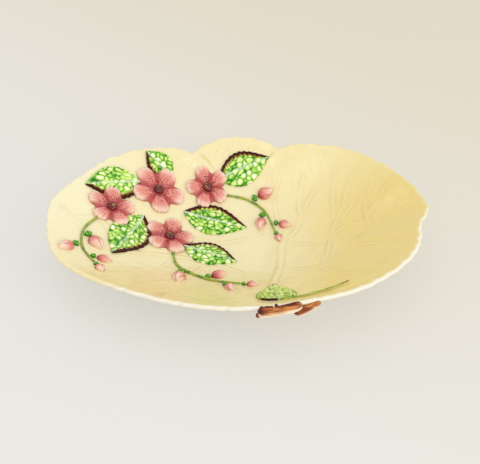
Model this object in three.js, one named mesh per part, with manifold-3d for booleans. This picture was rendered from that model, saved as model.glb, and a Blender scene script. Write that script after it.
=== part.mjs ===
// A glazed earthenware serving dish in the form of a broad lobed leaf, put together as a potter does it:
// a cast bowl on a luted foot ring, two twigs luted to the front rim, a small leaf inside that rim,
// and a sprigged spray of blossoms, leaves and bud stems on the back left wall.
// Millimetres, +Z up, the table at height zero. Angles are in degrees, anticlockwise in plan from the
// dish's right-hand point.

import * as THREE from 'three';
import { mergeVertices } from 'three/addons/utils/BufferGeometryUtils.js';
import Module from 'manifold-3d';

const wasm = await Module();
wasm.setup();

// Bowl: overall oval, heights above the table and wall
const DISH_LENGTH = 266;
const DISH_WIDTH = 190;
const RIM_HEIGHT = 41;
const END_RISE = 5;
const FLOOR_HEIGHT = 8;
const FLOOR_LENGTH = 54;
const WALL = 4;
const WALL_CURVE = 1.5;
const LIP_ROUNDING = 2.4;
const BOWL_SEGMENTS = 120;

// The lobe at the back stands higher than the rim beside it
const BACK_LOBE = { at: 92, rise: 4, spread: 18 };

// Broad swellings of the oval, its two end points, and the two notches between the back lobes
const SWELLS = [
  { at: 41, reach: 4, spread: 14 },
  { at: -8, reach: -4, spread: 4 },
  { at: -28, reach: 2.5, spread: 12 },
  { at: -156, reach: 5, spread: 13 },
  { at: 158, reach: -5, spread: 12 },
];
const END_POINTS = [
  { at: 0, reach: 3, spread: 3 },
  { at: 177, reach: 2.5, spread: 3 },
];
const NOTCHES = [
  { at: 114, depth: 10.7, before: 9, after: 8 },
  { at: 69, depth: 7.4, before: 5, after: 8 },
];

// Foot ring under the floor
const FOOT_LENGTH = 118;
const FOOT_WIDTH = 82;
const FOOT_WALL = 7;
const FOOT_TAPER = 0.7;
const FOOT_SEGMENTS = 72;

// Clearance between any two pieces that are luted together
const LUTING_GAP = 0.35;

// Twigs on the front rim: angle, distance outside the rim and drop below it
const TWIG_LEFT_RADIUS = 4;
const TWIG_RIGHT_RADIUS = 3.5;
const KNOT_RADIUS = 2;
const TWIG_SEGMENTS = 12;
const TWIG_LEFT_PATH = [
  { at: -82.6, outset: 1.4, drop: 3.7 },
  { at: -75.6, outset: 1.8, drop: 3.5 },
  { at: -70.4, outset: 1.8, drop: 2.7 },
  { at: -66.3, outset: 1.4, drop: 1.8 },
];
const TWIG_FORK_PATH = [
  { at: -78.6, outset: 1.4, drop: 4.2 },
  { at: -80.6, outset: 2.2, drop: 7.2 },
];
const TWIG_KNOT_PATH = [
  { at: -75.4, outset: 1.4, drop: 3 },
  { at: -76.4, outset: 0.8, drop: -0.6 },
];
const TWIG_RIGHT_PATH = [
  { at: -68.2, outset: 1.8, drop: 7.6 },
  { at: -64.4, outset: 1.8, drop: 5.4 },
  { at: -60.2, outset: 1.4, drop: 3.6 },
];

// Leaf and stalk inside the front rim
const FRONT_LEAF = { at: -73, inset: 9.5, heading: 93, length: 30, width: 26, broadest: 0.3 };
const STALK_RADIUS = 0.9;
const STALK_PATH = [
  { at: -72, inset: 8 },
  { at: -64, inset: 8.4 },
  { at: -53, inset: 9.4 },
  { at: -43, inset: 12 },
];

// Spray on the back left wall: its middle lies inside the rim, and its sprigs are placed from there
const SPRAY = { at: 143.4, inset: 36.5 };
const PETAL_EDGE = 1.4;
const PETAL_RISE = 3.4;
const PETAL_CLEFT = 0.3;
const PETAL_COUNT = 5;
const BLOSSOM_SEGMENTS = 40;
const EYE_RADIUS = 3.8;
const EYE_SEAT = 1.5;
const EYE_RISE = 2.6;
const BLOSSOMS = [
  { x: -32, y: -27, radius: 17, turn: 20 },
  { x: 0, y: 0, radius: 20, turn: -8 },
  { x: 38, y: 9, radius: 17, turn: 40 },
  { x: 11, y: -41, radius: 18, turn: 8 },
];
const LEAF_EDGE = 1.1;
const LEAF_RISE = 2.3;
const LEAVES = [
  { x: -12, y: 4, heading: 205, length: 44, width: 26, broadest: 0.45 },
  { x: 10, y: 14, heading: 143, length: 26, width: 21, broadest: 0.45 },
  { x: 46, y: 16, heading: 23, length: 44, width: 25, broadest: 0.45 },
  { x: -9, y: -26, heading: 251, length: 52, width: 28, broadest: 0.45 },
  { x: 20, y: -14, heading: -13, length: 50, width: 27, broadest: 0.45 },
  { x: 22, y: -48, heading: -22, length: 42, width: 23, broadest: 0.45 },
];
const STEM_RADIUS = 1.1;
const BUD_LENGTH = 14;
const BUD_WIDTH = 10;
const BUD_BROADEST = 0.4;
const BUD_RISE = 4.4;
const BUD_SEGMENTS = 14;
const BUD_SPREAD = 50;
const BUD_SHRINK = 0.12;
const CALYX_LENGTH = 5;
const CALYX_WIDTH = 6;
const CALYX_BROADEST = 0.6;
const CALYX_RISE = 2.8;
const BUD_STEMS = [
  { path: [[-39, -38], [-47, -57], [-45, -78], [-34, -94]], firstSide: 1 },
  { path: [[14, -54], [20, -75], [40, -89], [64, -95]], firstSide: -1 },
  { path: [[50, 4], [69, 0], [83, -11], [90, -30]], firstSide: 1 },
];
const BUDS_ALONG_STEM = [0.36, 0.6, 0.82];

const CREAM_GLAZE = '#f0e1aa';
const BARE_FOOT = '#e9dcc0';
const LEAF_GREEN = '#6fae45';
const STALK_GREEN = '#8faa3c';
const PETAL_PINK = '#e18c7d';
const EYE_CRIMSON = '#96222a';
const TWIG_BROWN = '#a56432';

const UP = new THREE.Vector3(0, 0, 1);
const radians = THREE.MathUtils.degToRad;
const degrees = THREE.MathUtils.radToDeg;

// Step over which a slope is measured
const PROBE = 0.05;

// Height of a round dome over a share of the way out to its edge
const dome = (share) => Math.sqrt(Math.max(0, 1 - share ** 2));

// Signed angle from one direction to another, in degrees, within half a turn either way
function turnBetween(from, to) {
  return ((((to - from + 180) % 360) + 360) % 360) - 180;
}

// Polar radius of an ellipse about its centre
function ellipseRadius(angle, length, width) {
  const along = (width / 2) * Math.cos(radians(angle));
  const across = (length / 2) * Math.sin(radians(angle));
  return (length * width) / 4 / Math.hypot(along, across);
}

// Radius of the whole oval that the bowl is formed on
function ovalRadius(angle) {
  let radius = ellipseRadius(angle, DISH_LENGTH, DISH_WIDTH);
  for (const { at, reach, spread } of SWELLS) {
    radius += reach * Math.exp(-((turnBetween(at, angle) / spread) ** 2));
  }
  return radius;
}

// Radius of the finished rim, drawn out at its ends and notched between the lobes
function rimRadius(angle) {
  let radius = ovalRadius(angle);
  for (const { at, reach, spread } of END_POINTS) {
    radius += reach * Math.exp(-Math.abs(turnBetween(at, angle)) / spread);
  }
  for (const { at, depth, before, after } of NOTCHES) {
    const turn = turnBetween(at, angle);
    radius -= depth * Math.exp(-Math.abs(turn) / (turn < 0 ? before : after));
  }
  return radius;
}

// Height of the bowl's inner face where it meets the whole oval
function ovalHeight(angle) {
  const ends = Math.cos(radians(angle)) ** 2 * END_RISE;
  const lobe = BACK_LOBE.rise * Math.exp(-((turnBetween(BACK_LOBE.at, angle) / BACK_LOBE.spread) ** 2));
  return RIM_HEIGHT + ends + lobe;
}

// Height of the bowl's inner face at a distance from the middle: a level floor, then a rising wall
function innerHeightAt(angle, radius) {
  const floorShare = FLOOR_LENGTH / DISH_LENGTH;
  const climb = Math.max(0, (radius / ovalRadius(angle) - floorShare) / (1 - floorShare));
  return FLOOR_HEIGHT + (ovalHeight(angle) - FLOOR_HEIGHT) * climb ** WALL_CURVE;
}

function innerHeight(x, y) {
  return innerHeightAt(degrees(Math.atan2(y, x)), Math.hypot(x, y));
}

// Upright distance through a layer of the wall that is one millimetre thick across
function uprightThickness(angle, radius) {
  const rise = innerHeightAt(angle, radius + PROBE) - innerHeightAt(angle, Math.max(0, radius - PROBE));
  return Math.hypot(1, rise / (2 * PROBE));
}

function undersideHeight(x, y) {
  const angle = degrees(Math.atan2(y, x));
  const radius = Math.hypot(x, y);
  return innerHeightAt(angle, radius) - WALL * uprightThickness(angle, radius);
}

// Point above the bowl's inner face, square to it
function seat(x, y, lift) {
  const slopeX = innerHeight(x - PROBE, y) - innerHeight(x + PROBE, y);
  const slopeY = innerHeight(x, y - PROBE) - innerHeight(x, y + PROBE);
  const square = new THREE.Vector3(slopeX, slopeY, 2 * PROBE).normalize();
  return new THREE.Vector3(x, y, innerHeight(x, y)).addScaledVector(square, lift);
}

// Plan point at an angle, a distance inside the oval
function planInside({ at, inset }) {
  const radius = ovalRadius(at) - inset;
  return new THREE.Vector2(radius * Math.cos(radians(at)), radius * Math.sin(radians(at)));
}

// Moves every vertex of a geometry to the place that a function gives for it
function reshape(geometry, place) {
  const position = geometry.attributes.position;
  for (let i = 0; i < position.count; i += 1) {
    const moved = place(position.getX(i), position.getY(i), position.getZ(i));
    position.setXYZ(i, moved.x, moved.y, moved.z);
  }
  geometry.computeVertexNormals();
  return geometry;
}

function solidOf(geometry) {
  const bare = geometry.clone();
  bare.deleteAttribute('normal');
  bare.deleteAttribute('uv');
  const merged = mergeVertices(bare, 1e-3);
  const triVerts = new Uint32Array(merged.index.array);
  const vertProperties = merged.attributes.position.array;
  return new wasm.Manifold(new wasm.Mesh({ numProp: 3, vertProperties, triVerts }));
}

function geometryOf(solid) {
  const { vertProperties, triVerts } = solid.getMesh();
  const geometry = new THREE.BufferGeometry();
  geometry.setAttribute('position', new THREE.BufferAttribute(vertProperties, 3));
  geometry.setIndex(new THREE.BufferAttribute(triVerts, 1));
  geometry.computeVertexNormals();
  return geometry;
}

// Bowl: a section turned round the middle, [share of the way to the rim, depth into the wall], whose rings
// then take the rim's outline and the wall's rise. A grown copy is the room that the bowl needs.
function bowl(grow = 0) {
  const lip = LIP_ROUNDING / (DISH_WIDTH / 2);
  const underside = [0, 0.16, 0.28, 0.4, 0.54, 0.7, 0.86].map((share) => [share, 1]);
  const edge = [[1 - 0.7 * lip, 1], [1, 0.72], [1, 0.4], [1 - 0.35 * lip, 0.1], [1 - lip, 0]];
  const inside = [0.92, 0.84, 0.74, 0.64, 0.54, 0.44, 0.35, 0.27, 0.2, 0.1, 0].map((share) => [share, 0]);
  const section = [...underside, ...edge, ...inside];
  const points = section.map(([share, depth]) => new THREE.Vector2(share, -depth));
  const turned = new THREE.LatheGeometry(points, BOWL_SEGMENTS).rotateX(Math.PI / 2);
  return reshape(turned, (u, v, level) => {
    const angle = degrees(Math.atan2(v, u));
    const radius = Math.hypot(u, v) * (rimRadius(angle) + grow);
    const through = WALL * level + grow * (1 + 2 * level);
    const height = innerHeightAt(angle, radius) + through * uprightThickness(angle, radius);
    return new THREE.Vector3(radius * Math.cos(radians(angle)), radius * Math.sin(radians(angle)), height);
  });
}

// Foot ring: a tapered section turned round the middle and drawn out to an oval, up to the bowl's underside
function footRing() {
  const hub = 2;
  const top = FOOT_TAPER / 2;
  const section = [[-0.5, 0], [0.5, 0], [top, 1], [0, 1], [-top, 1], [-0.5, 0]];
  const points = section.map(([across, up]) => new THREE.Vector2(hub + across, up));
  const turned = new THREE.LatheGeometry(points, FOOT_SEGMENTS).rotateX(Math.PI / 2);
  return reshape(turned, (u, v, up) => {
    const angle = degrees(Math.atan2(v, u));
    const middle = ellipseRadius(angle, FOOT_LENGTH - FOOT_WALL, FOOT_WIDTH - FOOT_WALL);
    const radius = middle + (Math.hypot(u, v) - hub) * FOOT_WALL;
    const x = radius * Math.cos(radians(angle));
    const y = radius * Math.sin(radians(angle));
    return new THREE.Vector3(x, y, up * (undersideHeight(x, y) - LUTING_GAP));
  });
}

// Twig: a round section with a swollen foot and a rounded end, bent along its path beside the rim
function twig(path, radius) {
  const spine = new THREE.CatmullRomCurve3(path.map(({ at, outset, drop }) => {
    const reach = ovalRadius(at) + outset;
    const height = ovalHeight(at) - drop;
    return new THREE.Vector3(reach * Math.cos(radians(at)), reach * Math.sin(radians(at)), height);
  }));
  const outline = [[0, 0], [0.75, 0], [1, 0.06], [0.95, 0.3], [0.85, 0.6], [0.76, 0.9], [0.5, 0.98], [0, 1]];
  const points = outline.map(([share, along]) => new THREE.Vector2(share * radius, along));
  return reshape(new THREE.LatheGeometry(points, TWIG_SEGMENTS), (x, along, z) => {
    const tangent = spine.getTangentAt(along);
    const side = new THREE.Vector3().crossVectors(tangent, UP).normalize();
    const up = new THREE.Vector3().crossVectors(side, tangent);
    return spine.getPointAt(along).addScaledVector(side, x).addScaledVector(up, z);
  });
}

function leftTwigSolid(grow) {
  const main = solidOf(twig(TWIG_LEFT_PATH, TWIG_LEFT_RADIUS + grow));
  const fork = solidOf(twig(TWIG_FORK_PATH, KNOT_RADIUS + grow));
  const knot = solidOf(twig(TWIG_KNOT_PATH, KNOT_RADIUS + grow));
  return main.add(fork).add(knot);
}

// Sprig: a disc with a flat back and a crowned face, given its outline in plan and seated on the bowl's wall
function sprig({ backShares, faceShares, segments, plan, crown, lift = LUTING_GAP }) {
  const back = backShares.map((share) => new THREE.Vector2(share, 0));
  const face = faceShares.map((share) => new THREE.Vector2(share, 1));
  const disc = new THREE.LatheGeometry([...back, ...face], segments).rotateX(Math.PI / 2);
  return reshape(disc, (u, v, level) => {
    const { x, y } = plan(u, v);
    return seat(x, y, lift + level * crown(Math.hypot(u, v), Math.atan2(v, u)));
  });
}

// Plan of a pointed oval blade from its foot along its heading: the disc's chords become the blade's widths.
// A grown plan is larger all round.
function bladePlan({ x, y, heading, length, width, broadest }, grow = 0) {
  const forward = new THREE.Vector2(Math.cos(radians(heading)), Math.sin(radians(heading)));
  const skew = Math.log(0.5) / Math.log(broadest);
  return (u, v) => {
    const along = Math.min(1, Math.max(0, (1 + u) / 2));
    const chord = Math.sqrt(Math.max(1e-9, 1 - u * u));
    const across = (width / 2 + grow) * Math.sin(Math.PI * along ** skew) * (v / chord);
    const reach = along * (length + 2 * grow) - grow;
    return { x: x + forward.x * reach - forward.y * across, y: y + forward.y * reach + forward.x * across };
  };
}

function leafSprig(leaf) {
  return sprig({
    backShares: [0, 0.5, 1],
    faceShares: [0.94, 0.7, 0.4, 0],
    segments: 28,
    plan: bladePlan(leaf),
    crown: (share) => LEAF_EDGE + (LEAF_RISE - LEAF_EDGE) * (1 - share ** 2),
  });
}

// How much of a petal lies in a direction round the blossom: none in a cleft, all on a petal's middle
function petalShare(angle, turn) {
  return 0.5 + 0.5 * Math.cos(PETAL_COUNT * (angle - radians(turn)));
}

function blossomPlan({ x, y, radius, turn }, grow = 0) {
  return (u, v) => {
    const reach = (radius + grow) * (1 - PETAL_CLEFT * (1 - petalShare(Math.atan2(v, u), turn)) ** 2);
    return { x: x + u * reach, y: y + v * reach };
  };
}

// Rosette of rounded petals, hollowed in the middle for its eye
function blossomSprig(blossom) {
  const eye = (EYE_RADIUS + LUTING_GAP) / blossom.radius;
  return sprig({
    backShares: [0, 0.5, 1],
    faceShares: [0.95, 0.8, 0.55, eye, 0],
    segments: BLOSSOM_SEGMENTS,
    plan: blossomPlan(blossom),
    crown: (share, angle) => {
      if (share <= eye + 1e-3) {
        return EYE_SEAT;
      }
      const across = (share - eye) / (1 - eye);
      const puff = Math.sin(Math.PI * across) * (0.4 + 0.6 * petalShare(angle, blossom.turn));
      return PETAL_EDGE + (PETAL_RISE - PETAL_EDGE) * puff;
    },
  });
}

// Room that a sprig of a given plan needs above the wall, for the leaves and stems that run under it
function roomOver(plan, segments) {
  const roomHeight = 2 * PETAL_RISE;
  const space = sprig({
    backShares: [0, 1],
    faceShares: [1, 0],
    segments,
    plan,
    crown: () => 2 * roomHeight,
    lift: -roomHeight,
  });
  return solidOf(space);
}

function eyeSprig({ x, y }) {
  return sprig({
    backShares: [0, 1],
    faceShares: [0.9, 0.55, 0],
    segments: 12,
    plan: (u, v) => ({ x: x + u * EYE_RADIUS, y: y + v * EYE_RADIUS }),
    crown: (share) => EYE_RISE * dome(share),
    lift: EYE_SEAT + 2 * LUTING_GAP,
  });
}

// Bud and calyx: small domed blades
function budSprig(bud, size) {
  return sprig({
    backShares: [0, 1],
    faceShares: [0.92, 0.6, 0],
    segments: BUD_SEGMENTS,
    plan: bladePlan(bud),
    crown: (share) => BUD_RISE * size * dome(share),
  });
}

function calyxSprig(calyx, size) {
  return sprig({
    backShares: [0, 1],
    faceShares: [0.9, 0.5, 0],
    segments: BUD_SEGMENTS,
    plan: bladePlan(calyx),
    crown: (share) => CALYX_RISE * size * dome(share),
  });
}

// Distance along a bud's heading from the stem's middle to the calyx, whose broadest place clears the stem
function besideStem(size) {
  const clear = STEM_RADIUS + 2 * LUTING_GAP;
  const shoulder = (CALYX_WIDTH / 2) * size * Math.cos(radians(BUD_SPREAD));
  const footToShoulder = CALYX_BROADEST * CALYX_LENGTH * size;
  const lean = Math.sin(radians(BUD_SPREAD));
  return Math.max((clear + shoulder) / lean - footToShoulder, clear / lean);
}

// Rolled stem: a thin round section drawn along a line that lies on the bowl's wall
function stem(line, radius) {
  const steps = 14;
  const laid = line.getSpacedPoints(steps).map(({ x, y }) => seat(x, y, radius + LUTING_GAP));
  const section = new THREE.Shape().absarc(0, 0, radius, 0, 2 * Math.PI);
  const extrudePath = new THREE.CatmullRomCurve3(laid);
  return new THREE.ExtrudeGeometry(section, { steps, curveSegments: 4, bevelEnabled: false, extrudePath });
}

const dish = new THREE.Group();

function addPiece(name, geometry, color, roughness) {
  const mesh = new THREE.Mesh(geometry, new THREE.MeshStandardMaterial({ color, roughness, metalness: 0 }));
  mesh.name = name;
  dish.add(mesh);
}

addPiece('dish_body', bowl(), CREAM_GLAZE, 0.15);
addPiece('foot_ring', footRing(), BARE_FOOT, 0.6);

const room = solidOf(bowl(LUTING_GAP));
const leftTwig = leftTwigSolid(0).subtract(room);
const wholeRightTwig = solidOf(twig(TWIG_RIGHT_PATH, TWIG_RIGHT_RADIUS));
const rightTwig = wholeRightTwig.subtract(room).subtract(leftTwigSolid(LUTING_GAP));
addPiece('twig_left', geometryOf(leftTwig), TWIG_BROWN, 0.25);
addPiece('twig_right', geometryOf(rightTwig), TWIG_BROWN, 0.25);

const sprayMiddle = planInside(SPRAY);
const inSpray = (piece) => ({ ...piece, x: sprayMiddle.x + piece.x, y: sprayMiddle.y + piece.y });
const blossoms = BLOSSOMS.map(inSpray);

// Each bud stands on its calyx beside the stem, on alternate sides, and the last one ends the stem
const budSprays = BUD_STEMS.map(({ path, firstSide }) => {
  const line = new THREE.SplineCurve(path.map(([x, y]) => sprayMiddle.clone().add(new THREE.Vector2(x, y))));
  const buds = [...BUDS_ALONG_STEM, 1].map((along, count) => {
    const size = 1 - BUD_SHRINK * count;
    const side = along < 1 ? firstSide * (-1) ** count : 0;
    const heading = degrees(line.getTangentAt(along).angle()) + side * BUD_SPREAD;
    const forward = new THREE.Vector2(Math.cos(radians(heading)), Math.sin(radians(heading)));
    const calyxFoot = line.getPointAt(along).addScaledVector(forward, side ? besideStem(size) : LUTING_GAP);
    const budFoot = calyxFoot.clone().addScaledVector(forward, CALYX_LENGTH * size + LUTING_GAP);
    const calyx = {
      x: calyxFoot.x,
      y: calyxFoot.y,
      heading,
      length: CALYX_LENGTH * size,
      width: CALYX_WIDTH * size,
      broadest: CALYX_BROADEST,
    };
    const bud = {
      x: budFoot.x,
      y: budFoot.y,
      heading,
      length: BUD_LENGTH * size,
      width: BUD_WIDTH * size,
      broadest: BUD_BROADEST,
    };
    return { size, calyx, bud };
  });
  return { line, buds };
});

// Leaves and stems end where the petals lie over them, and leaves also end where a bud lies over them
const petalRooms = blossoms.map((blossom) => roomOver(blossomPlan(blossom, LUTING_GAP), BLOSSOM_SEGMENTS));
const budBlades = budSprays.flatMap(({ buds }) => buds.flatMap(({ calyx, bud }) => [calyx, bud]));
const budRooms = budBlades.map((blade) => roomOver(bladePlan(blade, LUTING_GAP), BUD_SEGMENTS));
function endUnder(geometry, rooms) {
  return geometryOf(rooms.reduce((rest, sprigAbove) => rest.subtract(sprigAbove), solidOf(geometry)));
}

function addLeaf(name, leaf) {
  addPiece(name, endUnder(leafSprig(leaf), [...petalRooms, ...budRooms]), LEAF_GREEN, 0.2);
}

const frontFoot = planInside(FRONT_LEAF);
addLeaf('front_leaf', { ...FRONT_LEAF, x: frontFoot.x, y: frontFoot.y });
const stalkLine = new THREE.SplineCurve(STALK_PATH.map(planInside));
addPiece('front_stalk', stem(stalkLine, STALK_RADIUS), STALK_GREEN, 0.2);

LEAVES.forEach((leaf, index) => {
  addLeaf(`leaf_${index + 1}`, inSpray(leaf));
});

blossoms.forEach((blossom, index) => {
  addPiece(`blossom_${index + 1}`, blossomSprig(blossom), PETAL_PINK, 0.2);
  addPiece(`blossom_${index + 1}_centre`, eyeSprig(blossom), EYE_CRIMSON, 0.2);
});

budSprays.forEach(({ line, buds }, index) => {
  addPiece(`bud_stem_${index + 1}`, endUnder(stem(line, STEM_RADIUS), petalRooms), STALK_GREEN, 0.2);
  buds.forEach(({ size, calyx, bud }, count) => {
    const name = `${index + 1}_${count + 1}`;
    addPiece(`calyx_${name}`, calyxSprig(calyx, size), LEAF_GREEN, 0.2);
    addPiece(`bud_${name}`, budSprig(bud, size), PETAL_PINK, 0.2);
  });
});

// The origin is on the table, under the middle of the dish's overall box
const middle = new THREE.Box3().setFromObject(dish, true).getCenter(new THREE.Vector3());
dish.position.set(-middle.x, -middle.y, 0);

export default dish;
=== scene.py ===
import math

import bmesh
import bpy
import numpy as np
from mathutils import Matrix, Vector, noise


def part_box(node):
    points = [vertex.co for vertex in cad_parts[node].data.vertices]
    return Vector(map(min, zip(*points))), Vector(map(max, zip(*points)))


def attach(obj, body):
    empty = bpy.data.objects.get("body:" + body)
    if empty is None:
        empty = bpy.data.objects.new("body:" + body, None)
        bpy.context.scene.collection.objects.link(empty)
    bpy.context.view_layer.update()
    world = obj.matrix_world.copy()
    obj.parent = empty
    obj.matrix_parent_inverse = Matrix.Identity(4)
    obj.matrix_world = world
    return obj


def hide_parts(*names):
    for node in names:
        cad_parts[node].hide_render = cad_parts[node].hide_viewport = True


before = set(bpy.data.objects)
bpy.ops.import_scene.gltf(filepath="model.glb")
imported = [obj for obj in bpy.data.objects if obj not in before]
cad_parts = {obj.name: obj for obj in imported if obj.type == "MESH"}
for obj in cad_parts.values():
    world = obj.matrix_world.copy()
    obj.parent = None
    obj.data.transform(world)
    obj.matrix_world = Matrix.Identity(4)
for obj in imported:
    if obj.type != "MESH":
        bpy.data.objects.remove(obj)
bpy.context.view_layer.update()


# The bowl: the broad leaf itself, slip-cast in white earthenware with raised veins inside and a lobed,
# scalloped rim. It is dipped in a cream glaze, which thins to near white on the lip and pools darker
# along the veins.
MM = 0.001
DISH_LENGTH = 266
DISH_WIDTH = 190
RIM_HEIGHT = 41
END_RISE = 5
FLOOR_HEIGHT = 8
FLOOR_LENGTH = 54
WALL = 4
WALL_CURVE = 1.5
LIP_ROUNDING = 2.4
BACK_LOBE_AT, BACK_LOBE_RISE, BACK_LOBE_SPREAD = 92, 4, 18
SWELLS = [(41, 4, 14), (-8, -4, 4), (-28, 2.5, 12), (-156, 5, 13), (158, -5, 12)]
END_POINTS = [(0, 3, 3), (177, 2.5, 3)]
NOTCHES = [(114, 10.7, 9, 8), (69, 7.4, 5, 8)]
SCALLOP_PITCH = 11.5
SCALLOP_DEPTH = 2.2
RIM_FLARE = 1.2
LIP_ROLLS = [(-45, 2.5, 11), (-14, -1.6, 5), (150, 3, 11), (-145, 1.5, 16)]
LOBE_LIFT = 1.4
WALL_WAVE = 0.3
BOWL_SECTORS, SECTOR_CUTS = 180, 3
INNER_RINGS = 110
LIP_RINGS = 9
UNDER_RINGS = 14

# Veins in plan, from the middle of the dish: half width, rise and the line from root to tip. The fine
# ones fade more along their length than the long ones do.
LONG_VEIN_FADE = 0.12
FINE_VEIN_FADE = 0.34
MIDRIB = (1.9, 0.45)
LONG_BRANCH = (1.4, 0.65)
BRANCH = (1.45, 0.33)
TWIGLET = (1.3, 0.26)
VEINS = [
    (MIDRIB, [(20, -66), (23, -54), (30, -25), (33, 3), (38, 19)]),
    (BRANCH, [(38, 8), (43, 14), (48, 28), (47, 37), (49, 52), (52, 66)]),
    (TWIGLET, [(48, 28), (54, 40), (62, 55)]),
    (TWIGLET, [(35, 14), (30, 30), (28, 47), (32, 60), (36, 72)]),
    (TWIGLET, [(28, 44), (25, 55), (25, 66)]),
    (BRANCH, [(58, -34), (63, -21), (69, 3), (73, 14), (78, 25), (86, 49), (92, 58)]),
    (TWIGLET, [(72, 10), (78, 17), (85, 25), (95, 44)]),
    (TWIGLET, [(72, 18), (72, 32), (73, 44), (76, 62)]),
    (TWIGLET, [(28, -32), (35, -30), (59, -33), (78, -17), (88, -11), (98, -3), (107, 1), (124, 2)]),
    (BRANCH, [(97, -4), (95, 6), (95, 23), (99, 34), (103, 44)]),
    (TWIGLET, [(96, 12), (106, 27), (114, 37)]),
    (TWIGLET, [(35, 0), (46, -1), (56, -4)]),
    (TWIGLET, [(70, 1), (81, 8), (94, 5)]),
    (TWIGLET, [(80, -16), (95, -21), (108, -27)]),
    (BRANCH, [(58, -34), (68, -49), (75, -53), (86, -56)]),
    (TWIGLET, [(14, 14), (24, 18), (37, 19)]),
    (
        LONG_BRANCH,
        [(8, -34), (-24, -17), (-53, -16), (-77, -21), (-86, -22), (-97, -17), (-110, -10), (-126, 3)],
    ),
    (LONG_BRANCH, [(-86, -22), (-90, -12), (-93, -5), (-98, 3), (-106, 4), (-115, -1)]),
    (TWIGLET, [(-74, -20), (-83, -29), (-92, -35)]),
    (TWIGLET, [(-46, -16), (-52, -30), (-60, -44)]),
    (TWIGLET, [(-22, -18), (-35, -42), (-52, -57), (-66, -66)]),
    (TWIGLET, [(10, 10), (-11, 4), (-30, 8)]),
    (TWIGLET, [(-3, 74), (-5, 82), (-8, 92)]),
    (TWIGLET, [(2, 74), (2, 84), (3, 94)]),
    (TWIGLET, [(6, 74), (9, 82), (14, 90)]),
]

# Where one lobe of the leaf laps over the next, inward from each notch
LAPS = [[(31, 84), (25, 78), (19, 74), (12, 69)], [(-31, 80), (-26, 76), (-22, 72), (-17, 65)]]
LAP_RISE = 1.1


def turn_between(start, angle):
    return (angle - start + 180) % 360 - 180


def ellipse_radius(angle, length, width):
    along = width / 2 * np.cos(np.radians(angle))
    across = length / 2 * np.sin(np.radians(angle))
    return length * width / 4 / np.hypot(along, across)


def oval_radius(angle):
    radius = ellipse_radius(angle, DISH_LENGTH, DISH_WIDTH)
    for at, reach, spread in SWELLS:
        radius = radius + reach * np.exp(-((turn_between(at, angle) / spread) ** 2))
    return radius


def rim_radius(angle):
    radius = oval_radius(angle)
    for at, reach, spread in END_POINTS:
        radius = radius + reach * np.exp(-np.abs(turn_between(at, angle)) / spread)
    for at, depth, before, after in NOTCHES:
        turn = turn_between(at, angle)
        radius = radius - depth * np.exp(-np.abs(turn) / np.where(turn < 0, before, after))
    return radius


def on_lobe(angle):
    """1 in the middle of the raised back lobe, falling away to 0 on both sides."""
    return np.exp(-((turn_between(BACK_LOBE_AT, angle) / BACK_LOBE_SPREAD) ** 2))


def oval_height(angle):
    return RIM_HEIGHT + END_RISE * np.cos(np.radians(angle)) ** 2 + BACK_LOBE_RISE * on_lobe(angle)


def inner_height_at(angle, radius):
    floor_share = FLOOR_LENGTH / DISH_LENGTH
    climb = np.maximum(0, (radius / oval_radius(angle) - floor_share) / (1 - floor_share))
    return FLOOR_HEIGHT + (oval_height(angle) - FLOOR_HEIGHT) * climb ** WALL_CURVE


def inner_height(x, y):
    return inner_height_at(np.degrees(np.arctan2(y, x)), np.hypot(x, y))


def upright_thickness(angle, radius, probe=0.05):
    rise = inner_height_at(angle, radius + probe) - inner_height_at(angle, np.maximum(0, radius - probe))
    return np.hypot(1, rise / (2 * probe))


def smooth_line(points, spacing=0.5):
    """Close points along a smooth line through a few chosen ones, and the share of its length at each."""
    chosen = np.array([points[0], *points, points[-1]], float)
    line = []
    for before, start, end, after in zip(chosen, chosen[1:], chosen[2:], chosen[3:]):
        t = np.linspace(0, 1, 40, endpoint=False)[:, None]
        leave, arrive = (end - before) / 2, (after - start) / 2
        bend = (2 * start - 2 * end + leave + arrive) * t**3
        line.append(bend + (3 * end - 3 * start - 2 * leave - arrive) * t**2 + leave * t + start)
    line = np.vstack([*line, chosen[-1:]])
    reach = np.concatenate([[0], np.cumsum(np.linalg.norm(np.diff(line, axis=0), axis=1))])
    shares = np.linspace(0, 1, max(8, int(reach[-1] / spacing)))
    spaced = [np.interp(shares * reach[-1], reach, line[:, axis]) for axis in range(line.shape[1])]
    return np.stack(spaced, 1), shares


def nearest(line, x, y, room):
    """Which points lie near a line in plan, their distances from it, and the nearest places on it."""
    near = (x > line[:, 0].min() - room) & (x < line[:, 0].max() + room)
    near &= (y > line[:, 1].min() - room) & (y < line[:, 1].max() + room)
    gap = np.hypot(x[near, None] - line[:, 0], y[near, None] - line[:, 1])
    return near, gap.min(1), gap.argmin(1)


def smooth_step(low, high, value):
    share = np.clip((value - low) / (high - low), 0, 1)
    return share * share * (3 - 2 * share)


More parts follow.
